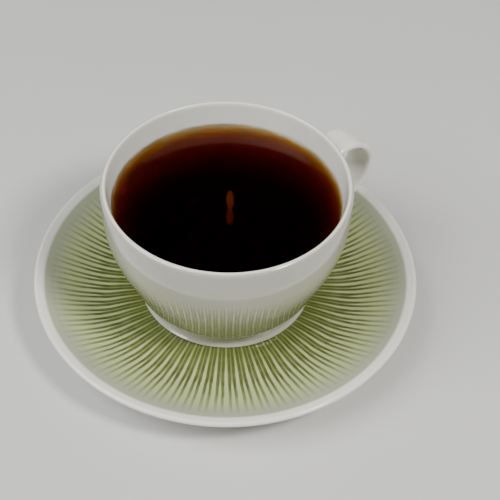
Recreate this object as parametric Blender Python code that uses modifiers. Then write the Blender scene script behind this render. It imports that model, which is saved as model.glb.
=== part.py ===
"""A cup of black tea on its saucer, both in white glazed porcelain.

The saucer's foot ring stands on z = 0, and its axis, which is the cup's too, is the Z axis.
The cup's handle points along +X. Lengths below are in millimetres and the model is in metres.
"""
import math

import bmesh
import bpy
from mathutils import Vector
from mathutils.geometry import interpolate_bezier

MM = 0.001
SIDES = 64              # flats round a turned piece
CURVE_POINTS = 9        # along a long curve of a profile
BEND_POINTS = 5         # along a short one
MERGE = 0.00001         # metres, welds the two ends of a profile at the axis
GAP = 0.3               # between pieces that touch

# Saucer
SAUCER_RADIUS = 80.5
SAUCER_HEIGHT = 17.6
SAUCER_LIP = 1.1            # radius of the rounded edge
SAUCER_RIM_TILT = 18.0      # degrees, of the face where it meets the edge
SAUCER_RISE_START = 9.8     # reach of the face's curve, from the well and from the rim
SAUCER_RISE_END = 7.0
WELL_RADIUS = 48.3          # flat middle that the cup stands on
WELL_HEIGHT = 8.0
SAUCER_THICKNESS = 3.9
SAUCER_FOOT_RADIUS = 46.5
SAUCER_FOOT_WIDTH = 3.4
SAUCER_FOOT_DRAFT = 1.0     # how much the ring widens upwards on each side
SAUCER_FOOT_CHAMFER = 0.6

# Cup
CUP_RADIUS = 50.0
CUP_HEIGHT = 59.3       # from its foot to the top of the lip
CUP_LIP = 1.57          # radius of the lip's outer round
LIP_SOFT_WIDTH = 1.1    # the lip's longer round towards the inside
LIP_SOFT_HEIGHT = 3.4
LIP_SOFT_PULL = 0.68    # reach of its curve, from the lip's top and from below
LIP_SOFT_RISE = 2.04
MOUTH_SLOPE = 0.145     # run over rise of the inner side below the lip, which opens upwards
MOUTH_DEPTH = 16.0      # the inner side runs along the outer one from this far below the lip
MOUTH_PULL = 4.0        # reach of the curve between them, from above and from below
MOUTH_HOLD = 6.0
LIP_STEPS = 3
CUP_WALL = 3.7
CUP_FLOOR = 4.4
FLOOR_BEND = 7.0        # height over which the inner side turns into the floor
CORNER_PULL = 4.9       # reach of that bend's curve, from the side and from the floor
FLOOR_PULL = 5.6
FLOOR_INSET = 10.5      # how far in the bend reaches
CUP_SIDE_TOP = 49.9     # height over the foot from which the side is upright
CUP_SIDE_LOW = 10.8     # height over the foot where the side ends and its lower corner starts
CUP_SIDE_RADIUS = 39.2  # radius there
CUP_SIDE_SLOPE = 0.397  # run over rise of the side there
CUP_SIDE_BULGE = 15.9   # reach of the side's curve, from its top and from its low end
CUP_SIDE_RISE = 19.2
CORNER_REACH = 4.4      # reach of the corner's curve, from the side and from the neck
CORNER_DROP = 2.2
NECK_RADIUS = 34.9      # upright neck between the corner and the flared foot ring
NECK_TOP = 4.5          # heights over the foot
NECK_BOTTOM = 1.6
FOOT_RADIUS = 36.0      # edge that the foot ring stands on
FOOT_DEPTH = 2.7        # hollow inside the ring
FOOT_WIDTH = 3.4
FOOT_ROUND = 0.3

# Handle, a flat strap bent to a ring, with a straight tail back to the wall
RING_CENTRE_X = 59.0
RING_CENTRE_DROP = 22.9     # below the middle of the lip
RING_REACH = 14.1           # half sizes of the strap's middle line
RING_RISE = 14.5
RING_START = 139.0          # degrees, in the wall at the top
RING_END = -100.0           # degrees, where the tail leaves the ring
TAIL_LENGTH = 14.2
RING_STEPS = 18
TAIL_STEPS = 3
STRAP_WIDTH = 13.7
STRAP_THICKNESS = 3.4
STRAP_FLARE = 1.3           # how much larger the strap is at the wall
FLARE_LENGTH = 5.0

# Tea
TEA_DROP = 9.9              # surface below the middle of the lip
TEA_EDGE = 1.0              # upright edge of the tea, below its surface

CUP_FOOT_HEIGHT = WELL_HEIGHT + GAP
LIP_HEIGHT = CUP_FOOT_HEIGHT + CUP_HEIGHT - CUP_LIP
TEA_HEIGHT = LIP_HEIGHT - TEA_DROP
CUP_UNDERSIDE = CUP_FOOT_HEIGHT + FOOT_DEPTH
CUP_BOTTOM = CUP_UNDERSIDE + CUP_FLOOR


def clear_scene():
    """Remove every object that the file opened with."""
    for item in list(bpy.data.objects):
        bpy.data.objects.remove(item, do_unlink=True)


def new_collection(name):
    """Make a collection in the scene."""
    collection = bpy.data.collections.new(name)
    bpy.context.scene.collection.children.link(collection)
    return collection


def new_material(name, colour, roughness):
    """Make a plain Principled material."""
    material = bpy.data.materials.new(name)
    material.use_nodes = True
    shader = material.node_tree.nodes["Principled BSDF"]
    shader.inputs["Base Color"].default_value = (*colour, 1.0)
    shader.inputs["Roughness"].default_value = roughness
    shader.inputs["Metallic"].default_value = 0.0
    material.diffuse_color = (*colour, 1.0)
    return material


def bezier(start, start_handle, end_handle, end, steps):
    """Points along one cubic curve, both ends included."""
    knots = [Vector((point[0], point[1], 0.0)) for point in (start, start_handle, end_handle, end)]
    return [(point.x, point.y) for point in interpolate_bezier(*knots, steps)]


def arc(centre, radius, first, last, steps):
    """Points round part of a circle, angles in degrees from +X towards +Z."""
    points = []
    for step in range(steps + 1):
        angle = math.radians(first + (last - first) * step / steps)
        points.append((centre[0] + radius * math.cos(angle), centre[1] + radius * math.sin(angle)))
    return points


def inset(points, distance):
    """Points moved inwards, square to a line that runs down the outside of a wall."""
    moved = []
    last = len(points) - 1
    for index, point in enumerate(points):
        before = Vector(points[max(index - 1, 0)])
        after = Vector(points[min(index + 1, last)])
        along = (after - before).normalized()
        moved.append((point[0] + along.y * distance, point[1] - along.x * distance))
    return moved


def turned(name, profile, material, collection):
    """A solid of revolution, from a profile that runs down its outer side at +X."""
    mesh = bpy.data.meshes.new(name)
    points = [(radius * MM, 0.0, height * MM) for radius, height in profile]
    edges = [(index, index + 1) for index in range(len(points) - 1)]
    mesh.from_pydata(points, edges, [])
    mesh.materials.append(material)
    piece = bpy.data.objects.new(name, mesh)
    collection.objects.link(piece)
    screw = piece.modifiers.new("Turn", "SCREW")
    screw.axis = "Z"
    screw.steps = SIDES
    screw.render_steps = SIDES
    screw.use_merge_vertices = True
    screw.merge_threshold = MERGE
    screw.use_smooth_shade = True
    return piece


def cup_side_end():
    """Low end of the cup's outer side, and its direction upwards."""
    return Vector((CUP_SIDE_RADIUS, CUP_FOOT_HEIGHT + CUP_SIDE_LOW)), Vector((CUP_SIDE_SLOPE, 1.0)).normalized()


def cup_side():
    """Outer side of the cup, down from the upright part below the lip to its lower corner."""
    end, upwards = cup_side_end()
    top = (CUP_RADIUS, CUP_FOOT_HEIGHT + CUP_SIDE_TOP)
    top_handle = (top[0], top[1] - CUP_SIDE_BULGE)
    return bezier(top, top_handle, end + upwards * CUP_SIDE_RISE, end, CURVE_POINTS)


def cup_inside():
    """Inner side of the cup, down from the top of the lip and in to the middle of its floor."""
    top = (CUP_RADIUS - CUP_LIP, LIP_HEIGHT + CUP_LIP)
    below_lip = Vector((top[0] - LIP_SOFT_WIDTH, top[1] - LIP_SOFT_HEIGHT))
    opening = Vector((MOUTH_SLOPE, 1.0))
    lip_handle = (top[0] - LIP_SOFT_PULL, top[1])
    soft_lip = bezier(top, lip_handle, below_lip + opening * LIP_SOFT_RISE, below_lip, BEND_POINTS)

    highest = LIP_HEIGHT - MOUTH_DEPTH
    wall = [point for point in inset(cup_side(), CUP_WALL) if CUP_BOTTOM + FLOOR_BEND < point[1] < highest]
    wall_handle = (wall[0][0], wall[0][1] + MOUTH_HOLD)
    mouth = bezier(below_lip, below_lip - opening * MOUTH_PULL, wall_handle, wall[0], BEND_POINTS)
    above, end = Vector(wall[-2]), Vector(wall[-1])
    corner_handle = end + (end - above).normalized() * CORNER_PULL
    floor_edge = Vector((end.x - FLOOR_INSET, CUP_BOTTOM))
    floor_handle = floor_edge + Vector((FLOOR_PULL, 0.0))
    corner = bezier(end, corner_handle, floor_handle, floor_edge, BEND_POINTS)
    return soft_lip + mouth[1:] + wall[1:] + corner[1:] + [(0.0, CUP_BOTTOM)]


def cup_foot():
    """Rounded lower corner, neck, flared foot ring and underside, from the side in to the axis."""
    low = CUP_FOOT_HEIGHT
    inner = FOOT_RADIUS - FOOT_WIDTH
    end, upwards = cup_side_end()
    neck_top = (NECK_RADIUS, low + NECK_TOP)
    neck_handle = (NECK_RADIUS, neck_top[1] + CORNER_DROP)
    corner = bezier(end, end - upwards * CORNER_REACH, neck_handle, neck_top, BEND_POINTS)
    neck_bottom = (NECK_RADIUS, low + NECK_BOTTOM)
    outer_round = arc((FOOT_RADIUS - FOOT_ROUND, low + FOOT_ROUND), FOOT_ROUND, 0.0, -90.0, 2)
    inner_round = arc((inner + FOOT_ROUND, low + FOOT_ROUND), FOOT_ROUND, -90.0, -180.0, 2)
    underside = [(inner, CUP_UNDERSIDE), (0.0, CUP_UNDERSIDE)]
    return corner[1:] + [neck_bottom] + outer_round + inner_round + underside


def ring_point(degrees):
    """Point on the ring of the handle's middle line, with its direction of travel downwards."""
    angle = math.radians(degrees)
    point = Vector((
        RING_CENTRE_X + RING_REACH * math.cos(angle),
        LIP_HEIGHT - RING_CENTRE_DROP + RING_RISE * math.sin(angle),
    ))
    travel = Vector((RING_REACH * math.sin(angle), -RING_RISE * math.cos(angle))).normalized()
    return point, travel


def handle_route():
    """Middle line of the strap in the XZ plane, from wall to wall."""
    route = []
    for step in range(RING_STEPS + 1):
        route.append(ring_point(RING_START + (RING_END - RING_START) * step / RING_STEPS)[0])
    end, travel = ring_point(RING_END)
    for step in range(1, TAIL_STEPS + 1):
        route.append(end + travel * TAIL_LENGTH * step / TAIL_STEPS)
    return route


def handle_piece(material, collection):
    """The handle's strap as a mesh, to be joined to the cup."""
    route = handle_route()
    curve = bpy.data.curves.new("handle_line", "CURVE")
    curve.dimensions = "3D"
    curve.fill_mode = "FULL"
    curve.twist_mode = "Z_UP"
    curve.bevel_depth = STRAP_THICKNESS / 2 * MM
    curve.extrude = (STRAP_WIDTH - STRAP_THICKNESS) / 2 * MM
    curve.bevel_resolution = 1
    curve.use_fill_caps = True
    spline = curve.splines.new("POLY")
    spline.points.add(len(route) - 1)
    for point, place in zip(spline.points, route):
        near_end = min((place - route[0]).length, (place - route[-1]).length)
        flare = max(0.0, 1.0 - near_end / FLARE_LENGTH)
        point.co = (place.x * MM, place.y * MM, 0.0, 1.0)
        point.radius = 1.0 + (STRAP_FLARE - 1.0) * flare ** 2
    line = bpy.data.objects.new("handle_line", curve)
    line.rotation_euler = (math.radians(90.0), 0.0, 0.0)
    collection.objects.link(line)
    bpy.context.view_layer.update()

    graph = bpy.context.evaluated_depsgraph_get()
    mesh = bpy.data.meshes.new_from_object(line.evaluated_get(graph))
    shape = bmesh.new()
    shape.from_mesh(mesh)
    bmesh.ops.remove_doubles(shape, verts=shape.verts, dist=MERGE)
    bmesh.ops.recalc_face_normals(shape, faces=shape.faces)
    shape.to_mesh(mesh)
    shape.free()
    mesh.materials.clear()
    mesh.materials.append(material)
    strap = bpy.data.objects.new("handle_strap", mesh)
    strap.matrix_world = line.matrix_world.copy()
    collection.objects.link(strap)
    bpy.data.objects.remove(line, do_unlink=True)
    strap.hide_render = True
    strap.display_type = "WIRE"
    return strap


def make_cup(collection, guides):
    """Cup, with its foot ring and handle, in one piece."""
    porcelain = new_material("cup_porcelain", (0.86, 0.85, 0.82), 0.12)
    inside = list(reversed(cup_inside()))
    lip = arc((CUP_RADIUS - CUP_LIP, LIP_HEIGHT), CUP_LIP, 90.0, 0.0, LIP_STEPS)
    cup = turned("cup", inside + lip[1:] + cup_side() + cup_foot(), porcelain, collection)
    join = cup.modifiers.new("Handle", "BOOLEAN")
    join.operation = "UNION"
    join.object = handle_piece(porcelain, guides)
    return cup


def make_tea(collection):
    """Tea, filling the cup up to its level, a gap clear of the porcelain."""
    liquid = new_material("black_tea", (0.05, 0.008, 0.003), 0.03)
    inside = cup_inside()
    side = [point for point in inset(inside[:-1], GAP) if point[1] < TEA_HEIGHT - TEA_EDGE]
    edge = (side[0][0], TEA_HEIGHT)
    bottom = (0.0, CUP_BOTTOM + GAP)
    return turned("tea", [(0.0, TEA_HEIGHT), edge] + side + [bottom], liquid, collection)


def saucer_face():
    """Upper side of the saucer, out from the edge of its well to the rounded edge."""
    tilt = math.radians(SAUCER_RIM_TILT)
    rim = (
        SAUCER_RADIUS - SAUCER_LIP * (1.0 + math.sin(tilt)),
        SAUCER_HEIGHT - SAUCER_LIP * (1.0 - math.cos(tilt)),
    )
    well_handle = (WELL_RADIUS + SAUCER_RISE_START, WELL_HEIGHT)
    rim_handle = (rim[0] - SAUCER_RISE_END, rim[1] - SAUCER_RISE_END * math.tan(tilt))
    return bezier((WELL_RADIUS, WELL_HEIGHT), well_handle, rim_handle, rim, CURVE_POINTS)


def saucer_foot():
    """Foot ring and underside of the saucer, from its outer face in to the axis."""
    ceiling = WELL_HEIGHT - SAUCER_THICKNESS
    outer = SAUCER_FOOT_RADIUS
    inner = SAUCER_FOOT_RADIUS - SAUCER_FOOT_WIDTH
    return [
        (outer + SAUCER_FOOT_DRAFT, ceiling),
        (outer, SAUCER_FOOT_CHAMFER),
        (outer - SAUCER_FOOT_CHAMFER, 0.0),
        (inner + SAUCER_FOOT_CHAMFER, 0.0),
        (inner, SAUCER_FOOT_CHAMFER),
        (inner - SAUCER_FOOT_DRAFT, ceiling),
        (0.0, ceiling),
    ]


def make_saucer(collection):
    """Saucer, with a flat well, a raised rim and a foot ring."""
    porcelain = new_material("saucer_porcelain", (0.72, 0.74, 0.58), 0.12)
    face = saucer_face()
    lip_centre = (SAUCER_RADIUS - SAUCER_LIP, SAUCER_HEIGHT - SAUCER_LIP)
    edge = arc(lip_centre, SAUCER_LIP, 90.0 + SAUCER_RIM_TILT, -72.0, 5)
    back = reversed(inset(face, SAUCER_THICKNESS))
    underside = [point for point in back if WELL_RADIUS < point[0] < SAUCER_RADIUS - SAUCER_THICKNESS]
    profile = [(0.0, WELL_HEIGHT)] + face + edge[1:] + underside + saucer_foot()
    return turned("saucer", profile, porcelain, collection)


clear_scene()
parts = new_collection("cup_of_tea")
cutters = new_collection("cutters")
make_saucer(parts)
make_cup(parts, cutters)
make_tea(parts)
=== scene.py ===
import math

import bmesh
import bpy
import numpy as np
from mathutils import Euler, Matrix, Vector
from mathutils.geometry import interpolate_bezier


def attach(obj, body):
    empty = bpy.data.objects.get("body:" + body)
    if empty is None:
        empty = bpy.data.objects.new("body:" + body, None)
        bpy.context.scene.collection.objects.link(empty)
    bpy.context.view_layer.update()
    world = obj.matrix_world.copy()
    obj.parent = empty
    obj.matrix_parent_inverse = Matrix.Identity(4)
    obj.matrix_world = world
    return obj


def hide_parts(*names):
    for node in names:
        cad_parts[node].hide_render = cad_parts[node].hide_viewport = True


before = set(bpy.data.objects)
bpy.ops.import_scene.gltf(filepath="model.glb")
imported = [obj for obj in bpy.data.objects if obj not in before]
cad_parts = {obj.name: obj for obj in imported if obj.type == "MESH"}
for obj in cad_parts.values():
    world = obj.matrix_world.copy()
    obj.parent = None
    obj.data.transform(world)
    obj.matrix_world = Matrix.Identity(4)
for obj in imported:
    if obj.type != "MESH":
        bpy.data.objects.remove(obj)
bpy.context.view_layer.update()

MM = 0.001
WELD = 0.000005         # metres, for the two ends of a profile at the axis

# Saucer
SAUCER_RADIUS = 80.5
SAUCER_HEIGHT = 17.6
SAUCER_LIP = 1.1            # radius of the rounded edge
SAUCER_RIM_TILT = 18.0      # degrees, of the face where it meets the edge
SAUCER_RISE_START = 9.8     # reach of the face's curve, from the well and from the rim
SAUCER_RISE_END = 7.0
WELL_RADIUS = 48.3
WELL_HEIGHT = 8.0
SAUCER_THICKNESS = 3.9
SAUCER_FOOT_RADIUS = 46.5
SAUCER_FOOT_WIDTH = 3.4
SAUCER_LIP_END = -72.0      # degrees, where the rounded edge ends underneath
SAUCER_FOOT_ROUND = 0.9
SAUCER_FOOT_LEAN = 0.2      # how far the ring's sides lean out and in, just above its rounds
SAUCER_FOOT_STRAIGHT = 1.2  # height up to which they stay nearly upright
SAUCER_FOOT_JOIN = (1.0, -0.1)  # reach of the curve where the outside of the ring meets the saucer
SAUCER_FOOT_CORNER = 2.6    # width of the bend between the ring's inner side and the underside
SAUCER_FOOT_PULL = 1.8      # reach of that bend's curve
SAUCER_SIDES = 256

# Cup
CUP_FOOT_HEIGHT = 8.3       # the cup's own foot stands this high
CUP_RADIUS = 50.0
CUP_LIP = 1.57              # radius of the lip's outer round
LIP_HEIGHT = 66.03          # where that round starts
LIP_SOFT_WIDTH = 1.1        # the lip's longer round towards the inside
LIP_SOFT_HEIGHT = 3.4
LIP_SOFT_PULL = 0.682       # reach of its curve, from the lip's top and from below
LIP_SOFT_RISE = 2.04
MOUTH_SLOPE = 0.145         # run over rise of the inner side below the lip, which opens upwards
MOUTH_LOW = 50.0            # the inner side runs along the outer one from here down
MOUTH_PULL = 4.0            # reach of the curve between them, from above and from below
MOUTH_HOLD = 6.0
CUP_WALL = 3.7
CUP_BOTTOM = 15.4           # inner side of the floor
FLOOR_BEND = 7.0            # height over which the inner side turns into the floor
CORNER_PULL = 4.9           # reach of that bend's curve, from the side and from the floor
FLOOR_PULL = 5.6
FLOOR_INSET = 10.5          # how far in the bend reaches
CUP_BASE_RADIUS = 39.2      # low end of the side, where its rounded corner starts
CUP_BASE_HEIGHT = 19.1
CUP_SIDE_SLOPE = 0.397      # run over rise of the side, at its low end
CUP_SIDE_TOP = 58.2
CUP_SIDE_BULGE = 15.9       # reach of the side's curve, from its top and from its low end
CUP_SIDE_RISE = 19.2
CORNER_REACH = 4.4          # reach of the corner's curve, from the side and from the neck
CORNER_DROP = 2.2
NECK_RADIUS = 34.9          # upright neck between the corner and the foot's flare
NECK_TOP = 12.8
NECK_BOTTOM = 9.9
FOOT_RADIUS = 36.0          # edge that the flared foot ring stands on
FOOT_WIDTH = 3.4
FOOT_ROUND = 0.3
FOOT_DEPTH = 2.7            # hollow inside the ring
FOOT_CORNER = 1.5           # width of the bend at its top
FLARE_START = (0.1, -0.5)   # reach of the flare's curve, out and up, from the neck and from the foot
FLARE_END = (-0.2, 0.3)
CUP_SIDES = 192

# Handle, a flat strap bent to a ring, with a tail back to the wall
RING_CENTRE_X = 59.0
RING_CENTRE_HEIGHT = 43.13
RING_REACH = 14.1
RING_RISE = 14.5
RING_START = 152.0          # degrees, inside the wall at the top
RING_END = -100.0           # degrees, where the tail leaves the ring
TAIL_LENGTH = 14.2
STRAP_WIDTH = 13.7
STRAP_THICKNESS = 3.4
STRAP_EDGE = 1.45           # radius of the strap's rounded edges
ROOT_FILLET = 1.5           # reach of the fillet round each root
FILLET_PULL = 2.25          # how strongly its curve follows the wall and the strap
FILLET_STEP = 0.3           # along the strap, to find its direction
FILLET_ROWS = 6
ROOT_COLUMNS = 12           # faces of the wall's grid that each root's opening takes
ROOT_ROWS = 8
UPPER_ROOT = (58.8, 49.8)   # top and bottom of each root's opening in the wall
LOWER_ROOT = (34.8, 26.8)
UPPER_ROWS = 7              # of the wall's grid, above, between and below the roots
MIDDLE_ROWS = 14
LOWER_ROWS = 8
STRAP_STATIONS = 72
FINE_POINTS = 400           # along the fine lines of the wall and of the strap
TAIL_POINTS = 80

# Tea
TEA_HEIGHT = 56.13
MENISCUS_RISE = 1.5         # how far the surface climbs the wall
MENISCUS_REACH = 1.7
MENISCUS_RINGS = 22
MENISCUS_STEPS = (0.05, 12.0)   # width of the narrowest ring, and of them all
TEA_OVERLAP = 0.5           # how far the tea reaches into the porcelain
TEA_EDGE = 0.5              # upright edge of the tea, below its surface
TEA_SIDES = 192

# Points or steps along the profiles
SIDE_POINTS = 60
FACE_POINTS = 48
MOUTH_POINTS = 20
CORNER_POINTS = 12
LIP_POINTS = 10
LIP_STEPS = 8
EDGE_STEPS = 16
WELL_STEPS = 16
SURFACE_STEPS = 10
FLAT_STEPS = 8
FOOT_POINTS = 8
BEND_POINTS = 6
FOOT_STEPS = 5
SHORT_STEPS = 4

# Stripes of the saucer: pairs of dark lines with a lighter fill, between pale gaps
STRIPES = 73
STRIPE_START = 0.245        # of a stripe, where the first pale gap lies from +X
STRIPE_WANDER = 0.12        # of a stripe, how far the lines stray
LINE_OFFSET = 0.278         # of a stripe, from the middle of a pale gap to its dark lines
LINE_WIDTH = 1.2
LINE_BLUR = 0.15
LINE_FADE = (52.0, 74.5)    # radii where the lines start to pale and where they are gone
WEDGE_RADII = (50.0, 66.0)  # radii where a pale wedge opens between two lines and where it is full
WEDGE_WIDTHS = (-0.3, 1.6)  # half its width at those radii
INNER_RADII = (39.0, 50.0)  # radii where the green pales to the plain ground
OUTER_RADII = (64.0, 74.0)  # radii where the ground turns greyer
WHITE_EDGE = (75.6, 77.2)   # radii where the white edge starts
FACE_POLISH = (0.34, 0.03)  # roughness of the striped face and of the white edge
POLISH_RADII = (69.6, 77.2)
WANDER_SCALE = 110.0        # of the noise that leads the lines astray, per metre
PAINT_SCALE = 230.0         # of the unevenness of the paint
PAINT_LEVELS = (0.84, 1.0)

# Glaze, with the scales of its noises per metre
MOTTLE_SCALE = 55.0
MOTTLE_LEVELS = (0.97, 1.02)
SMEAR_SCALE = 28.0
SMEAR_LEVELS = (0.0, 0.04)  # added roughness
WAVE_SCALE = 95.0
BARE_SCALE = 300.0          # of the edge of the unglazed ring under each foot
BARE_WANDER = 0.4
BARE_ROUGHNESS = 0.6
BARE_MARGIN = 0.1           # height of that ring
GRIT_SCALE = 5000.0
GRIT_HEIGHT = 0.08
BUMP_STRENGTH = 0.2
BUMP_DISTANCE = 0.00025     # metres
CUP_POLISH = 0.05           # roughness
COAT_POLISH = 0.03
GLAZE_IOR = 1.52

# Colours
WHITE = (0.87, 0.86, 0.785, 1.0)
# white glaze darkened by painted shade, for the outside of the bowl
OUTSIDE_PAINTED_SHADE = (0.485, 0.475, 0.40, 1.0)
# deeper painted shade, tinted green as by light from the saucer, for the bowl's low part
LOW_PAINTED_SHADE = (0.38, 0.38, 0.28, 1.0)
LOW_SHADE_HEIGHTS = (20.0, 50.0)  # heights where the painted shade on the bowl's low part is darkest and where it ends
NECK_SHADE = 3.0            # height over the neck in which that painted shade sets in
OUTWARD_SHARES = (0.1, 0.8) # turn from the lip, where the painted shade on the outside starts and is full
BOWL_RADII = (50.1, 52.5)   # radii where the bowl passes into the handle
BISCUIT = (0.70, 0.66, 0.58, 1.0)
GROUND = (0.47, 0.54, 0.255, 1.0)
INNER_GROUND = (0.25, 0.31, 0.08, 1.0)
OUTER_GROUND = (0.39, 0.42, 0.295, 1.0)
STRIPE_LINE = (0.083, 0.10, 0.025, 1.0)
STRIPE_FILL = (0.20, 0.245, 0.075, 1.0)
FLOOR_TONES = ((0.60, 0.60, 0.59, 1.0), (0.64, 0.64, 0.63, 1.0))
FLOOR_SCALE = 9.0
FLOOR_ROUGHNESS = 0.7
FLOOR_SIZE = 4.0            # half a side, in metres
WORLD = (0.02, 0.02, 0.02, 1.0)
TEA_TINT = (0.86, 0.62, 0.0, 1.0)
TEA_DEPTH = 450.0           # how quickly light is lost, per metre
TEA_IOR = 1.26
FILM_SCALE = 60.0           # of the patches where the surface is less smooth
FILM_LEVELS = (0.0, 0.03)

# Sockets of a Mix node that is set to colours
MIX_FIRST = 6
MIX_SECOND = 7
MIX_RESULT = 2

# Camera, set to the photograph's view
CAMERA_PLACE = (-0.210104, -0.269890, 0.393110)
CAMERA_TURN = (43.1639, -1.4472, -38.0108)      # degrees
CAMERA_LENS = 86.4
CAMERA_SENSOR = 36.0

# Name, azimuth from +X, elevation, distance in metres, width and height, power, colour, whether
# it shows in gloss only
LIGHTS = [
    ("front_right_light", -71.9, 52.0, 1.2, (0.23, 0.23), 11.5, (1.0, 0.98, 0.95), False),
    ("left_light", 162.1, 49.0, 1.5, (1.1, 1.1), 25.0, (0.99, 0.99, 1.0), False),
    ("overhead_light", -40.0, 86.0, 1.6, (1.0, 1.0), 3.0, (1.0, 0.99, 0.97), False),
    ("warm_lamp_high", 51.85, 46.98, 1.5, (0.012, 0.026), 0.0016, (1.0, 0.10, 0.06), True),
    ("warm_lamp_low", 51.85, 45.95, 1.5, (0.012, 0.030), 0.0032, (1.0, 0.15, 0.03), True),
]


def bezier(start, start_handle, end_handle, end, steps):
    """Points along one cubic curve, both ends included."""
    knots = [Vector((point[0], point[1], 0.0)) for point in (start, start_handle, end_handle, end)]
    return [(point.x, point.y) for point in interpolate_bezier(*knots, steps)]


def arc(centre, radius, first, last, steps):
    """Points round part of a circle, angles in degrees from +X towards +Z."""
    angles = np.radians(np.linspace(first, last, steps + 1))
    return [(centre[0] + radius * math.cos(a), centre[1] + radius * math.sin(a)) for a in angles]


def line(start, end, steps):
    """Points along a straight line, both ends included."""
    return [tuple(point) for point in np.linspace(start, end, steps + 1)]


def inset(points, distance):
    """Points moved inwards, square to a line that runs down the outside of a wall."""
    places = np.array(points, float)
    along = np.gradient(places, axis=0)
    along /= np.linalg.norm(along, axis=1)[:, None]
    moved = places + np.column_stack((along[:, 1], -along[:, 0])) * distance
    return [tuple(point) for point in moved]


def joined(*stretches):
    """One profile from several stretches that share their end points."""
    profile = list(stretches[0])
    for stretch in stretches[1:]:
        profile += stretch[1:]
    return profile


def new_piece(name, shape, material):
    """An object from a finished bmesh, smooth shaded, riding on the part."""
    bmesh.ops.remove_doubles(shape, verts=shape.verts, dist=WELD)
    bmesh.ops.recalc_face_normals(shape, faces=shape.faces)
    mesh = bpy.data.meshes.new(name)
    shape.to_mesh(mesh)
    shape.free()
    mesh.polygons.foreach_set("use_smooth", [True] * len(mesh.polygons))
    mesh.materials.append(material)
    piece = bpy.data.objects.new(name, mesh)
    bpy.context.scene.collection.objects.link(piece)
    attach(piece, "root")
    return piece


def turned_rings(shape, profile, sides):
    """Rings of vertices round the axis, one for each point of the profile."""
    angles = np.linspace(0.0, 2.0 * math.pi, sides, endpoint=False)
    rings = []
    for radius, height in profile:
        if radius < WELD / MM:
            rings.append([shape.verts.new((0.0, 0.0, height * MM))] * sides)
            continue
        places = [(radius * math.cos(a) * MM, radius * math.sin(a) * MM, height * MM) for a in angles]
        rings.append([shape.verts.new(place) for place in places])
    return rings


def skin(shape, rings, skipped=()):
    """Faces between neighbouring rings, without those whose (row, column) is skipped."""
    count = len(rings[0])
    for row in range(len(rings) - 1):
        for column in range(count):
            if (row, column) in skipped:
                continue
            after = (column + 1) % count
            corners = (rings[row][column], rings[row][after], rings[row + 1][after], rings[row + 1][column])
            shape.faces.new(list(dict.fromkeys(corners)))


def cup_side_line(steps):
    """Outer side of the cup, down from the upright part below the lip to the foot."""
    lean = Vector((CUP_SIDE_SLOPE, 1.0)).normalized() * CUP_SIDE_RISE
    base = (CUP_BASE_RADIUS, CUP_BASE_HEIGHT)
    base_handle = (base[0] + lean.x, base[1] + lean.y)
    top = (CUP_RADIUS, CUP_SIDE_TOP)
    return bezier(top, (top[0], top[1] - CUP_SIDE_BULGE), base_handle, base, steps)


SIDE_LINE = np.array([(CUP_RADIUS, LIP_HEIGHT)] + cup_side_line(FINE_POINTS))


def wall_radius(height):
    """Radius of the cup's outer side at a height."""
    return np.interp(height, SIDE_LINE[::-1, 1], SIDE_LINE[::-1, 0])


def cup_side_rows():
    """Heights of the rows down the cup's outer side, with even rows where the handle joins."""
    stretches = [
        (LIP_HEIGHT, UPPER_ROOT[0], UPPER_ROWS),
        (*UPPER_ROOT, ROOT_ROWS),
        (UPPER_ROOT[1], LOWER_ROOT[0], MIDDLE_ROWS),
        (*LOWER_ROOT, ROOT_ROWS),
        (LOWER_ROOT[1], CUP_BASE_HEIGHT, LOWER_ROWS),
    ]
    heights = [LIP_HEIGHT]
    for top, bottom, steps in stretches:
        heights += list(np.linspace(top, bottom, steps + 1)[1:])
    return heights


def cup_inside():
    """Inner side of the cup, down from the top of the lip and in to the middle of its floor."""
    wall = inset(cup_side_line(SIDE_POINTS), CUP_WALL)
    wall = [point for point in wall if CUP_BOTTOM + FLOOR_BEND < point[1] < MOUTH_LOW]
    top = (CUP_RADIUS - CUP_LIP, LIP_HEIGHT + CUP_LIP)
    top_handle = (top[0] - LIP_SOFT_PULL, top[1])
    below_lip = Vector((top[0] - LIP_SOFT_WIDTH, top[1] - LIP_SOFT_HEIGHT))
    opening = Vector((MOUTH_SLOPE, 1.0))
    soft_lip = bezier(top, top_handle, below_lip + opening * LIP_SOFT_RISE, below_lip, LIP_POINTS)

    wall_handle = (wall[0][0], wall[0][1] + MOUTH_HOLD)
    mouth = bezier(below_lip, below_lip - opening * MOUTH_PULL, wall_handle, wall[0], MOUTH_POINTS)
    above, end = Vector(wall[-2]), Vector(wall[-1])
    corner_handle = end + (end - above).normalized() * CORNER_PULL
    floor_edge = Vector((end.x - FLOOR_INSET, CUP_BOTTOM))
    floor_handle = floor_edge + Vector((FLOOR_PULL, 0.0))
    corner = bezier(end, corner_handle, floor_handle, floor_edge, CORNER_POINTS)
    floor = line(floor_edge, (0.0, CUP_BOTTOM), FLAT_STEPS)
    return joined(soft_lip, mouth, wall, corner, floor)


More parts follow.
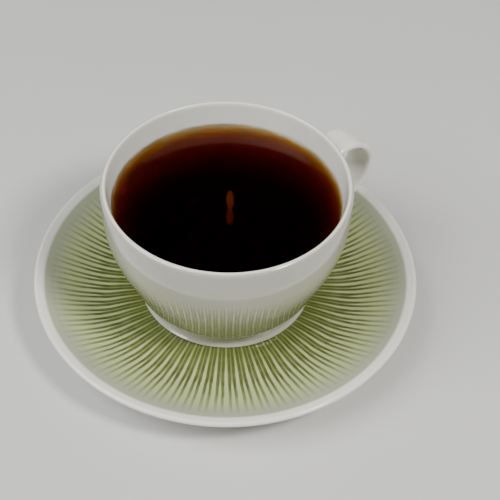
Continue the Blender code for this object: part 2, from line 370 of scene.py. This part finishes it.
def cup_foot():
    """Rounded corner, neck, flared foot ring and underside, down from the side and in to the axis."""
    base = (CUP_BASE_RADIUS, CUP_BASE_HEIGHT)
    turn = Vector((CUP_SIDE_SLOPE, 1.0)).normalized() * CORNER_REACH
    base_handle = (base[0] - turn.x, base[1] - turn.y)
    neck_top = (NECK_RADIUS, NECK_TOP)
    neck_bottom = (NECK_RADIUS, NECK_BOTTOM)
    neck_handle = (NECK_RADIUS, NECK_TOP + CORNER_DROP)
    corner = bezier(base, base_handle, neck_handle, neck_top, CORNER_POINTS)
    neck = line(neck_top, neck_bottom, 3)

    low = CUP_FOOT_HEIGHT
    inner = FOOT_RADIUS - FOOT_WIDTH
    edge = (FOOT_RADIUS, low + FOOT_ROUND)
    flare_start = (NECK_RADIUS + FLARE_START[0], NECK_BOTTOM + FLARE_START[1])
    flare_end = (edge[0] + FLARE_END[0], edge[1] + FLARE_END[1])
    flare = bezier(neck_bottom, flare_start, flare_end, edge, BEND_POINTS)
    outer_round = arc((FOOT_RADIUS - FOOT_ROUND, low + FOOT_ROUND), FOOT_ROUND, 0.0, -90.0, SHORT_STEPS)
    tread = line(outer_round[-1], (inner + FOOT_ROUND, low), 2)
    inner_round = arc((inner + FOOT_ROUND, low + FOOT_ROUND), FOOT_ROUND, -90.0, -180.0, SHORT_STEPS)

    ceiling = low + FOOT_DEPTH
    corner_point = (inner, ceiling)
    bend_end = (inner - FOOT_CORNER, ceiling)
    inner_wall = bezier(inner_round[-1], corner_point, corner_point, bend_end, BEND_POINTS)
    underside = line(bend_end, (0.0, ceiling), FLAT_STEPS)
    return joined(corner, neck, flare, outer_round, tread, inner_round, inner_wall, underside)


def strap_loop():
    """Offsets across and square to the strap, once round its section from one corner."""
    flat = STRAP_WIDTH / 2 - STRAP_EDGE
    crown = STRAP_THICKNESS / 2 - STRAP_EDGE
    across = np.linspace(-flat, flat, ROOT_COLUMNS + 1)[:-1]
    faces = [(y, STRAP_EDGE + crown * (1.0 - (y / flat) ** 2)) for y in across]
    edge = arc((flat, 0.0), STRAP_EDGE, 90.0, -90.0, ROOT_ROWS)[:-1]
    half = faces + edge
    return np.array(half + [(-y, -h) for y, h in half])


def handle_line():
    """Middle line of the strap in the XZ plane, finely spaced, with its outward normals."""
    angles = np.radians(np.linspace(RING_START, RING_END, FINE_POINTS))
    ring = np.column_stack((
        RING_CENTRE_X + RING_REACH * np.cos(angles),
        RING_CENTRE_HEIGHT + RING_RISE * np.sin(angles),
    ))
    travel = ring[-1] - ring[-2]
    travel /= np.linalg.norm(travel)
    tail = ring[-1] + travel * np.linspace(0.0, TAIL_LENGTH, TAIL_POINTS)[1:, None]
    places = np.vstack((ring, tail))
    lengths = np.concatenate(([0.0], np.cumsum(np.linalg.norm(np.diff(places, axis=0), axis=1))))
    along = np.gradient(places, lengths, axis=0)
    along /= np.linalg.norm(along, axis=1)[:, None]
    normals = np.column_stack((-along[:, 1], along[:, 0]))
    return places, normals, lengths


def strand(offset, places, normals):
    """The line that one point of the strap's section draws, from root to root."""
    across, height = offset
    flat = places + normals * height
    return np.column_stack((flat[:, 0], np.full(len(flat), across), flat[:, 1]))


def at_length(points, lengths, length):
    """Point of a line at a length along it."""
    return np.array([np.interp(length, lengths, points[:, axis]) for axis in range(3)])


def root_length(points, lengths, from_end):
    """Length at which a strand leaves the cup's outer side, seen from one of its ends."""
    clear = np.hypot(points[:, 0], points[:, 1]) - wall_radius(points[:, 2])
    outside = clear > 0.0
    if from_end:
        index = int(np.where(outside)[0][-1])
        before, after = index, index + 1
    else:
        after = int(np.argmax(outside))
        before = after - 1
    share = clear[before] / (clear[before] - clear[after])
    return lengths[before] + (lengths[after] - lengths[before]) * share


def on_wall(point):
    """The nearest place on the cup's outer side, at the same height and direction."""
    angle = math.atan2(point[1], point[0])
    radius = float(wall_radius(point[2]))
    return np.array((radius * math.cos(angle), radius * math.sin(angle), point[2]))


def wall_normal(point):
    """Outward normal of the cup's outer side."""
    step = 0.2
    lean = (wall_radius(point[2] + step) - wall_radius(point[2] - step)) / (2.0 * step)
    angle = math.atan2(point[1], point[0])
    normal = np.array((math.cos(angle), math.sin(angle), -float(lean)))
    return normal / np.linalg.norm(normal)


def root_rows(opening, strands, lengths, starts, outwards):
    """Rows from the opening in the wall to the strap, by way of a fillet round the root."""
    count = len(strands)
    feet = [at_length(strand_points, lengths, start) for strand_points, start in zip(strands, starts)]
    middle = np.mean(feet, axis=0)
    wall_row, fillet = [], []
    for index in range(count):
        foot = feet[index]
        along = feet[(index + 1) % count] - feet[index - 1]
        away = np.cross(along, wall_normal(foot))
        away /= np.linalg.norm(away)
        if np.dot(away, foot - middle) < 0.0:
            away = -away
        edge = on_wall(foot + away * ROOT_FILLET)
        near = at_length(strands[index], lengths, starts[index] + outwards * ROOT_FILLET)
        beyond = at_length(strands[index], lengths, starts[index] + outwards * (ROOT_FILLET + FILLET_STEP))
        leaving = (beyond - near) / np.linalg.norm(beyond - near)
        shares = np.linspace(0.0, 1.0, FILLET_ROWS + 1)[1:]
        starting, ending = -away * FILLET_PULL, leaving * FILLET_PULL
        fillet.append([hermite(edge, starting, near, ending, share) for share in shares])
        wall_row.append(edge)
    rows = []
    for share in (0.5, 1.0):
        rows.append([on_wall(start + (end - start) * share) for start, end in zip(opening, wall_row)])
    for step in range(FILLET_ROWS):
        rows.append([fillet[index][step] for index in range(count)])
    return rows


def hermite(start, leaving, end, arriving, share):
    """Point on the curve between two places with given directions."""
    a, b = share ** 2, share ** 3
    return ((2 * b - 3 * a + 1) * start + (b - 2 * a + share) * leaving
            + (3 * a - 2 * b) * end + (b - a) * arriving)


def opening_loop(rings, first_row, upside_down):
    """Vertices round an opening in the wall's grid, in the order of the strap's section."""
    half = ROOT_COLUMNS // 2
    last_row = first_row + ROOT_ROWS
    over = [(first_row, column) for column in range(-half, half)]
    down = [(row, half) for row in range(first_row, last_row)]
    under = [(last_row, column) for column in range(half, -half, -1)]
    up = [(row, -half) for row in range(last_row, first_row, -1)]
    if upside_down:
        over = [(last_row, column) for column in range(-half, half)]
        down = [(row, half) for row in range(last_row, first_row, -1)]
        under = [(first_row, column) for column in range(half, -half, -1)]
        up = [(row, -half) for row in range(first_row, last_row)]
    return [rings[row][column] for row, column in over + down + under + up]


def add_handle(shape, rings, upper_row, lower_row):
    """The strap of the handle, joined to the wall's grid at both of its openings."""
    places, normals, lengths = handle_line()
    strands = [strand(offset, places, normals) for offset in strap_loop()]
    starts = [root_length(points, lengths, False) for points in strands]
    ends = [root_length(points, lengths, True) for points in strands]

    upper = opening_loop(rings, upper_row, False)
    lower = opening_loop(rings, lower_row, True)
    upper_rows = root_rows([np.array(v.co) / MM for v in upper], strands, lengths, starts, 1.0)
    lower_rows = root_rows([np.array(v.co) / MM for v in lower], strands, lengths, ends, -1.0)
    stations = []
    for share in np.linspace(0.0, 1.0, STRAP_STATIONS + 1)[1:-1]:
        row = []
        for points, start, end in zip(strands, starts, ends):
            first, last = start + ROOT_FILLET, end - ROOT_FILLET
            row.append(at_length(points, lengths, first + (last - first) * share))
        stations.append(row)
    rows = upper_rows + stations + lower_rows[::-1]
    loops = [[shape.verts.new(tuple(point * MM)) for point in row] for row in rows]
    skin(shape, [upper] + loops + [lower])


def make_cup(material):
    """The cup with its foot ring and handle, as one closed skin."""
    shape = bmesh.new()
    heights = cup_side_rows()
    side = [(float(wall_radius(height)), height) for height in heights]
    inside = list(reversed(cup_inside()))
    lip = arc((CUP_RADIUS - CUP_LIP, LIP_HEIGHT), CUP_LIP, 90.0, 0.0, LIP_STEPS)
    before = joined(inside, lip)
    profile = joined(before, side, cup_foot())
    rings = turned_rings(shape, profile, CUP_SIDES)

    first_side_row = len(before) - 1
    upper_row = first_side_row + heights.index(UPPER_ROOT[0])
    lower_row = first_side_row + heights.index(LOWER_ROOT[0])
    half = ROOT_COLUMNS // 2
    skipped = {
        (row + step, column % CUP_SIDES)
        for row in (upper_row, lower_row)
        for step in range(ROOT_ROWS)
        for column in range(-half, half)
    }
    skin(shape, rings, skipped=skipped)
    add_handle(shape, rings, upper_row, lower_row)
    loose = [vert for vert in shape.verts if not vert.link_faces]
    bmesh.ops.delete(shape, geom=loose, context="VERTS")
    return new_piece("porcelain_cup", shape, material)


def saucer_face_line(steps):
    """Upper side of the saucer, out from the edge of its well to the rounded edge."""
    tilt = math.radians(SAUCER_RIM_TILT)
    rim = (
        SAUCER_RADIUS - SAUCER_LIP * (1.0 + math.sin(tilt)),
        SAUCER_HEIGHT - SAUCER_LIP * (1.0 - math.cos(tilt)),
    )
    well_handle = (WELL_RADIUS + SAUCER_RISE_START, WELL_HEIGHT)
    rim_handle = (rim[0] - SAUCER_RISE_END, rim[1] - SAUCER_RISE_END * math.tan(tilt))
    return bezier((WELL_RADIUS, WELL_HEIGHT), well_handle, rim_handle, rim, steps)


def make_saucer(material):
    """The saucer, with its raised rim and foot ring."""
    face = saucer_face_line(FACE_POINTS)
    lip_centre = (SAUCER_RADIUS - SAUCER_LIP, SAUCER_HEIGHT - SAUCER_LIP)
    edge = arc(lip_centre, SAUCER_LIP, 90.0 + SAUCER_RIM_TILT, SAUCER_LIP_END, EDGE_STEPS)
    least, most = WELL_RADIUS + 1.0, SAUCER_RADIUS - 2 * SAUCER_THICKNESS
    back = [point for point in reversed(inset(face, SAUCER_THICKNESS)) if least < point[0] < most]
    under_rim = line(edge[-1], back[0], FOOT_STEPS)

    ceiling = WELL_HEIGHT - SAUCER_THICKNESS
    outer = SAUCER_FOOT_RADIUS
    inner = SAUCER_FOOT_RADIUS - SAUCER_FOOT_WIDTH
    low = SAUCER_FOOT_ROUND
    upright = low + SAUCER_FOOT_STRAIGHT
    outer_round = arc((outer - low, low), low, 0.0, -90.0, FOOT_STEPS)
    tread = line(outer_round[-1], (inner + low, 0.0), 2)
    inner_round = arc((inner + low, low), low, -90.0, -180.0, FOOT_STEPS)
    join_handle = (outer + SAUCER_FOOT_JOIN[0], back[-1][1] + SAUCER_FOOT_JOIN[1])
    outer_handle = (outer + SAUCER_FOOT_LEAN, upright)
    outer_wall = bezier(back[-1], join_handle, outer_handle, outer_round[0], FOOT_POINTS)
    bend_end = (inner - SAUCER_FOOT_CORNER, ceiling)
    bend_handle = (bend_end[0] + SAUCER_FOOT_PULL, ceiling)
    inner_handle = (inner - SAUCER_FOOT_LEAN, upright)
    inner_wall = bezier(inner_round[-1], inner_handle, bend_handle, bend_end, FOOT_POINTS)

    well = line((0.0, WELL_HEIGHT), (WELL_RADIUS, WELL_HEIGHT), WELL_STEPS)
    underside = line(bend_end, (0.0, ceiling), FLAT_STEPS)
    foot = joined(outer_wall, outer_round, tread, inner_round, inner_wall, underside)
    profile = joined(well, face, edge, under_rim, back, foot)
    shape = bmesh.new()
    skin(shape, turned_rings(shape, profile, SAUCER_SIDES))
    return new_piece("striped_saucer", shape, material)


def make_tea(material):
    """The tea: a flat surface that climbs the wall a little, and sides just inside the porcelain."""
    wall = np.array(cup_inside())
    contact = float(np.interp(TEA_HEIGHT + MENISCUS_RISE, wall[::-1, 1], wall[::-1, 0]))
    reaches = np.concatenate(([0.0], np.geomspace(*MENISCUS_STEPS, MENISCUS_RINGS)))
    rises = MENISCUS_RISE * np.exp(-reaches / MENISCUS_REACH)
    climb = [(contact - reach, TEA_HEIGHT + rise) for reach, rise in zip(reaches, rises)]
    surface = line((0.0, TEA_HEIGHT), climb[-1], SURFACE_STEPS)
    edge = (contact + TEA_OVERLAP, climb[0][1])
    side = inset(wall[:-1], -TEA_OVERLAP)
    side = [point for point in side if point[1] < TEA_HEIGHT - TEA_EDGE]
    bottom = CUP_BOTTOM - TEA_OVERLAP
    profile = surface[:-1] + climb[::-1] + [edge] + side + [(0.0, bottom)]
    shape = bmesh.new()
    skin(shape, turned_rings(shape, profile, TEA_SIDES))
    return new_piece("black_tea", shape, material)


def add_node(tree, kind, **settings):
    """A new node with its settings."""
    made = tree.nodes.new(kind)
    for name, value in settings.items():
        setattr(made, name, value)
    return made


def feed(tree, socket, value):
    """Give a socket a link or a plain value."""
    if isinstance(value, bpy.types.NodeSocket):
        tree.links.new(value, socket)
    else:
        socket.default_value = value


def result_of(tree, operation, *values):
    """One step of arithmetic."""
    made = add_node(tree, "ShaderNodeMath", operation=operation)
    for socket, value in zip(made.inputs, values):
        feed(tree, socket, value)
    return made.outputs[0]


def ramp_between(tree, value, low, high, from_value=0.0, to_value=1.0):
    """A smooth step from one value to another."""
    made = add_node(tree, "ShaderNodeMapRange", interpolation_type="SMOOTHSTEP")
    for socket, number in zip(made.inputs, (value, low, high, from_value, to_value)):
        feed(tree, socket, number)
    return made.outputs[0]


def level_between(tree, value, places, levels=(0.0, 1.0)):
    """A straight slope from one value to another, level beyond its ends."""
    made = add_node(tree, "ShaderNodeMapRange")
    for socket, number in zip(made.inputs, (value, *places, *levels)):
        feed(tree, socket, number)
    return made.outputs[0]


def mixed(tree, share, first, second):
    """Two colours mixed by a share."""
    made = add_node(tree, "ShaderNodeMix", data_type="RGBA")
    feed(tree, made.inputs["Factor"], share)
    feed(tree, made.inputs[MIX_FIRST], first)
    feed(tree, made.inputs[MIX_SECOND], second)
    return made.outputs[MIX_RESULT]


def noise(tree, place, scale, detail=2.0):
    """Soft noise round 0.5, with its scale per metre."""
    made = add_node(tree, "ShaderNodeTexNoise")
    tree.links.new(place, made.inputs["Vector"])
    made.inputs["Scale"].default_value = scale
    made.inputs["Detail"].default_value = detail
    return made.outputs["Fac"]


def new_group(name, inputs, outputs):
    """An empty shader group with named sockets, and its two ends."""
    tree = bpy.data.node_groups.new(name, "ShaderNodeTree")
    for label, kind, value in inputs:
        socket = tree.interface.new_socket(label, in_out="INPUT", socket_type=kind)
        socket.default_value = value
    for label, kind in outputs:
        tree.interface.new_socket(label, in_out="OUTPUT", socket_type=kind)
    return tree, tree.nodes.new("NodeGroupInput"), tree.nodes.new("NodeGroupOutput")


def glaze_group():
    """Fired glaze: faint mottling, waviness and smears, and a bare ring where the foot stands."""
    tree, start, end = new_group(
        "fired_glaze",
        [("Colour", "NodeSocketColor", (0.8, 0.8, 0.8, 1.0)),
         ("Bare Colour", "NodeSocketColor", (0.7, 0.66, 0.6, 1.0)),
         ("Bare Height", "NodeSocketFloat", 0.0),
         ("Polish", "NodeSocketFloat", 0.06)],
        [("Colour", "NodeSocketColor"), ("Roughness", "NodeSocketFloat"), ("Height", "NodeSocketFloat")],
    )
    place = add_node(tree, "ShaderNodeTexCoord").outputs["Object"]
    split = add_node(tree, "ShaderNodeSeparateXYZ")
    tree.links.new(place, split.inputs[0])
    height = result_of(tree, "MULTIPLY", split.outputs["Z"], 1.0 / MM)

    mottle = ramp_between(tree, noise(tree, place, MOTTLE_SCALE, 3.0), 0.3, 0.7, *MOTTLE_LEVELS)
    tinted = add_node(tree, "ShaderNodeMix", data_type="RGBA", blend_type="MULTIPLY")
    tinted.inputs["Factor"].default_value = 1.0
    tree.links.new(start.outputs["Colour"], tinted.inputs[MIX_FIRST])
    tree.links.new(mottle, tinted.inputs[MIX_SECOND])
    stray = result_of(tree, "MULTIPLY", noise(tree, place, BARE_SCALE), BARE_WANDER)
    level = result_of(tree, "ADD", start.outputs["Bare Height"], stray)
    bare = result_of(tree, "LESS_THAN", height, level)
    colour = mixed(tree, bare, tinted.outputs[MIX_RESULT], start.outputs["Bare Colour"])
    tree.links.new(colour, end.inputs["Colour"])

    smear = ramp_between(tree, noise(tree, place, SMEAR_SCALE, 4.0), 0.35, 0.75, *SMEAR_LEVELS)
    polish = result_of(tree, "ADD", start.outputs["Polish"], smear)
    rough = result_of(tree, "ADD", polish, result_of(tree, "MULTIPLY", bare, BARE_ROUGHNESS))
    tree.links.new(rough, end.inputs["Roughness"])

    waves = noise(tree, place, WAVE_SCALE, 1.0)
    grit = result_of(tree, "MULTIPLY", noise(tree, place, GRIT_SCALE), bare)
    height = result_of(tree, "ADD", waves, result_of(tree, "MULTIPLY", grit, GRIT_HEIGHT))
    tree.links.new(height, end.inputs["Height"])
    return tree


def stripes_group():
    """Radial stripes of the saucer, as a colour over its ground."""
    tree, start, end = new_group(
        "radial_stripes",
        [("Rim", "NodeSocketColor", WHITE),
         ("Ground", "NodeSocketColor", GROUND),
         ("Inner Ground", "NodeSocketColor", INNER_GROUND),
         ("Outer Ground", "NodeSocketColor", OUTER_GROUND),
         ("Line", "NodeSocketColor", STRIPE_LINE),
         ("Fill", "NodeSocketColor", STRIPE_FILL)],
        [("Colour", "NodeSocketColor"), ("Polish", "NodeSocketFloat")],
    )
    place = add_node(tree, "ShaderNodeTexCoord").outputs["Object"]
    split = add_node(tree, "ShaderNodeSeparateXYZ")
    tree.links.new(place, split.inputs[0])
    flat = add_node(tree, "ShaderNodeCombineXYZ")
    tree.links.new(split.outputs["X"], flat.inputs["X"])
    tree.links.new(split.outputs["Y"], flat.inputs["Y"])
    length = add_node(tree, "ShaderNodeVectorMath", operation="LENGTH")
    tree.links.new(flat.outputs[0], length.inputs[0])
    radius = result_of(tree, "MULTIPLY", length.outputs["Value"], 1.0 / MM)

    turn = result_of(tree, "ARCTAN2", split.outputs["Y"], split.outputs["X"])
    shift = STRIPES + 0.5 - STRIPE_START
    turns = result_of(tree, "MULTIPLY_ADD", turn, STRIPES / (2.0 * math.pi), shift)
    stray = noise(tree, place, WANDER_SCALE)
    wander = result_of(tree, "MULTIPLY_ADD", stray, STRIPE_WANDER, -0.5 * STRIPE_WANDER)
    phase = result_of(tree, "FRACT", result_of(tree, "ADD", turns, wander))
    offset = result_of(tree, "ABSOLUTE", result_of(tree, "SUBTRACT", phase, 0.5))
    period = result_of(tree, "MULTIPLY", radius, 2.0 * math.pi / STRIPES)

    from_middle = result_of(tree, "MULTIPLY", result_of(tree, "SUBTRACT", offset, LINE_OFFSET), period)
    from_line = result_of(tree, "ABSOLUTE", from_middle)
    half = LINE_WIDTH / 2
    core = ramp_between(tree, from_line, half - LINE_BLUR, half + LINE_BLUR, 1.0, 0.0)
    travel = level_between(tree, radius, LINE_FADE)
    fade = result_of(tree, "SUBTRACT", 1.0, result_of(tree, "MULTIPLY", travel, travel))
    uneven = ramp_between(tree, noise(tree, place, PAINT_SCALE, 3.0), 0.35, 0.65, *PAINT_LEVELS)
    lines = result_of(tree, "MULTIPLY", result_of(tree, "MULTIPLY", core, fade), uneven)

    from_wedge = result_of(tree, "MULTIPLY", result_of(tree, "SUBTRACT", 0.5, offset), period)
    wedge = level_between(tree, radius, WEDGE_RADII, WEDGE_WIDTHS)
    closed = ramp_between(tree, result_of(tree, "SUBTRACT", from_wedge, wedge), -LINE_BLUR, LINE_BLUR)
    between = ramp_between(tree, from_middle, 0.0, LINE_BLUR)
    fill = result_of(tree, "MULTIPLY", result_of(tree, "MULTIPLY", between, closed), uneven)

    inner, outer = level_between(tree, radius, INNER_RADII), ramp_between(tree, radius, *OUTER_RADII)
    ground = mixed(tree, inner, start.outputs["Inner Ground"], start.outputs["Ground"])
    ground = mixed(tree, outer, ground, start.outputs["Outer Ground"])
    filled = mixed(tree, fill, ground, start.outputs["Fill"])
    striped = mixed(tree, lines, filled, start.outputs["Line"])
    edged = mixed(tree, ramp_between(tree, radius, *WHITE_EDGE), striped, start.outputs["Rim"])
    facing = add_node(tree, "ShaderNodeNewGeometry").outputs["Normal"]
    up = add_node(tree, "ShaderNodeSeparateXYZ")
    tree.links.new(facing, up.inputs[0])
    upper = result_of(tree, "GREATER_THAN", up.outputs["Z"], 0.0)
    tree.links.new(mixed(tree, upper, start.outputs["Rim"], edged), end.inputs["Colour"])
    polish = ramp_between(tree, radius, *POLISH_RADII, *FACE_POLISH)
    tree.links.new(polish, end.inputs["Polish"])
    return tree


def shader_of(name):
    """A new material with its node tree and its Principled shader."""
    material = bpy.data.materials.new(name)
    material.use_nodes = True
    tree = material.node_tree
    return material, tree, tree.nodes["Principled BSDF"]


def add_group(tree, group, **values):
    """A group placed in a material, with its own values."""
    placed = add_node(tree, "ShaderNodeGroup", node_tree=group)
    for label, value in values.items():
        feed(tree, placed.inputs[label.replace("_", " ")], value)
    return placed


def glaze(tree, shader, finish, coat):
    """Connect a fired glaze to a material's shader, with a clear coat of a weight over it."""
    tree.links.new(finish.outputs["Colour"], shader.inputs["Base Color"])
    tree.links.new(finish.outputs["Roughness"], shader.inputs["Roughness"])
    bump = add_node(tree, "ShaderNodeBump")
    bump.inputs["Strength"].default_value = BUMP_STRENGTH
    bump.inputs["Distance"].default_value = BUMP_DISTANCE
    tree.links.new(finish.outputs["Height"], bump.inputs["Height"])
    tree.links.new(bump.outputs["Normal"], shader.inputs["Normal"])
    shader.inputs["IOR"].default_value = GLAZE_IOR
    feed(tree, shader.inputs["Coat Weight"], coat)
    shader.inputs["Coat Roughness"].default_value = COAT_POLISH
    shader.inputs["Coat IOR"].default_value = GLAZE_IOR


def painted_shade_masks():
    """Masks for the shade painted on the cup's bowl: how far a surface faces away from the axis, and how
    low it lies.
    """
    outputs = [("Share", "NodeSocketFloat"), ("Low", "NodeSocketFloat")]
    tree, _, end = new_group("outward", [], outputs)
    place = add_node(tree, "ShaderNodeTexCoord").outputs["Object"]
    level = add_node(tree, "ShaderNodeVectorMath", operation="MULTIPLY")
    tree.links.new(place, level.inputs[0])
    level.inputs[1].default_value = (1.0, 1.0, 0.0)
    away = add_node(tree, "ShaderNodeVectorMath", operation="NORMALIZE")
    tree.links.new(level.outputs[0], away.inputs[0])
    facing = add_node(tree, "ShaderNodeVectorMath", operation="DOT_PRODUCT")
    tree.links.new(away.outputs[0], facing.inputs[0])
    tree.links.new(add_node(tree, "ShaderNodeNewGeometry").outputs["Normal"], facing.inputs[1])
    radius = add_node(tree, "ShaderNodeVectorMath", operation="LENGTH")
    tree.links.new(level.outputs[0], radius.inputs[0])
    # share of the painted shade, by how far the surface faces out from the axis
    outward = ramp_between(tree, facing.outputs["Value"], *OUTWARD_SHARES)
    reach = result_of(tree, "MULTIPLY", radius.outputs["Value"], 1.0 / MM)
    bowl = ramp_between(tree, reach, *BOWL_RADII, 1.0, 0.0)
    tree.links.new(result_of(tree, "MULTIPLY", outward, bowl), end.inputs["Share"])
    split = add_node(tree, "ShaderNodeSeparateXYZ")
    tree.links.new(place, split.inputs[0])
    height = result_of(tree, "MULTIPLY", split.outputs["Z"], 1.0 / MM)
    # painted shade on the bowl's low part, setting in over the neck and fading out upwards
    under = ramp_between(tree, height, NECK_TOP, NECK_TOP + NECK_SHADE)
    low = ramp_between(tree, height, *LOW_SHADE_HEIGHTS, 1.0, 0.0)
    tree.links.new(result_of(tree, "MULTIPLY", low, under), end.inputs["Low"])
    return tree


def cup_porcelain(fired_glaze):
    """White glazed porcelain, with shade painted on the outside of the bowl, deeper and greener low down.
    """
    material, tree, shader = shader_of("white_porcelain")
    # painted shade on the outside of the bowl, none on the lip's top or the handle
    outward = add_group(tree, painted_shade_masks())
    # the painted shade deepens and turns greener on the bowl's low part
    outside = mixed(tree, outward.outputs["Low"], OUTSIDE_PAINTED_SHADE, LOW_PAINTED_SHADE)
    colour = mixed(tree, outward.outputs["Share"], WHITE, outside)
    finish = add_group(tree, fired_glaze, Colour=colour, Bare_Colour=BISCUIT,
                       Bare_Height=CUP_FOOT_HEIGHT + BARE_MARGIN, Polish=CUP_POLISH)
    glaze(tree, shader, finish, outward.outputs["Share"])
    return material


def saucer_porcelain(fired_glaze):
    """White glazed porcelain with the green stripes under its glaze."""
    material, tree, shader = shader_of("striped_porcelain")
    stripes = add_group(tree, stripes_group(), Rim=WHITE)
    finish = add_group(tree, fired_glaze, Colour=stripes.outputs["Colour"], Bare_Colour=BISCUIT,
                       Bare_Height=BARE_MARGIN, Polish=stripes.outputs["Polish"])
    glaze(tree, shader, finish, 0.0)
    return material


def tea_liquid():
    """Clear red-brown tea that turns black with depth."""
    material, tree, shader = shader_of("black_tea")
    place = add_node(tree, "ShaderNodeTexCoord").outputs["Object"]
    film = ramp_between(tree, noise(tree, place, FILM_SCALE, 3.0), 0.4, 0.8, *FILM_LEVELS)
    tree.links.new(film, shader.inputs["Roughness"])
    shader.inputs["Base Color"].default_value = (1.0, 1.0, 1.0, 1.0)
    shader.inputs["Transmission Weight"].default_value = 1.0
    shader.inputs["IOR"].default_value = TEA_IOR
    loss = add_node(tree, "ShaderNodeVolumeAbsorption")
    loss.inputs["Color"].default_value = TEA_TINT
    loss.inputs["Density"].default_value = TEA_DEPTH
    tree.links.new(loss.outputs["Volume"], tree.nodes["Material Output"].inputs["Volume"])
    return material


def floor_finish():
    """A plain pale matt floor with the faintest mottling."""
    material, tree, shader = shader_of("pale_floor")
    place = add_node(tree, "ShaderNodeTexCoord").outputs["Object"]
    tone = mixed(tree, noise(tree, place, FLOOR_SCALE, 4.0), *FLOOR_TONES)
    tree.links.new(tone, shader.inputs["Base Color"])
    shader.inputs["Roughness"].default_value = FLOOR_ROUGHNESS
    return material


def make_floor():
    """The floor that the saucer stands on."""
    shape = bmesh.new()
    bmesh.ops.create_grid(shape, x_segments=4, y_segments=4, size=FLOOR_SIZE)
    mesh = bpy.data.meshes.new("floor")
    shape.to_mesh(mesh)
    shape.free()
    mesh.materials.append(floor_finish())
    floor = bpy.data.objects.new("floor", mesh)
    bpy.context.scene.collection.objects.link(floor)


def add_light(name, azimuth, elevation, distance, size, power, colour, gloss_only):
    """A soft light that faces the cup. One for gloss only is round, and lights nothing itself."""
    a, e = math.radians(azimuth), math.radians(elevation)
    data = bpy.data.lights.new(name, "AREA")
    data.shape = "ELLIPSE" if gloss_only else "RECTANGLE"
    data.size, data.size_y = size
    data.energy = power
    data.color = colour
    lamp = bpy.data.objects.new(name, data)
    towards = Vector((math.cos(a) * math.cos(e), math.sin(a) * math.cos(e), math.sin(e)))
    lamp.location = towards * distance
    lamp.rotation_euler = (-towards).to_track_quat("-Z", "Y").to_euler()
    lamp.visible_diffuse = not gloss_only
    lamp.visible_transmission = not gloss_only
    bpy.context.scene.collection.objects.link(lamp)


def make_studio():
    """Soft lights round the cup, with the side that the tea mirrors left dark."""
    for light in LIGHTS:
        add_light(*light)
    world = bpy.data.worlds.new("studio")
    world.use_nodes = True
    world.node_tree.nodes["Background"].inputs["Color"].default_value = WORLD
    bpy.context.scene.world = world


def make_camera():
    """The camera at the photograph's viewing angle."""
    data = bpy.data.cameras.new("camera")
    data.lens = CAMERA_LENS
    data.sensor_width = CAMERA_SENSOR
    camera = bpy.data.objects.new("camera", data)
    camera.location = CAMERA_PLACE
    camera.rotation_euler = Euler([math.radians(angle) for angle in CAMERA_TURN])
    bpy.context.scene.collection.objects.link(camera)
    bpy.context.scene.camera = camera


fired_glaze = glaze_group()
cup = make_cup(cup_porcelain(fired_glaze))
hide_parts("cup")
saucer = make_saucer(saucer_porcelain(fired_glaze))
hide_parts("saucer")
tea = make_tea(tea_liquid())
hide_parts("tea")
make_floor()
make_studio()
make_camera()
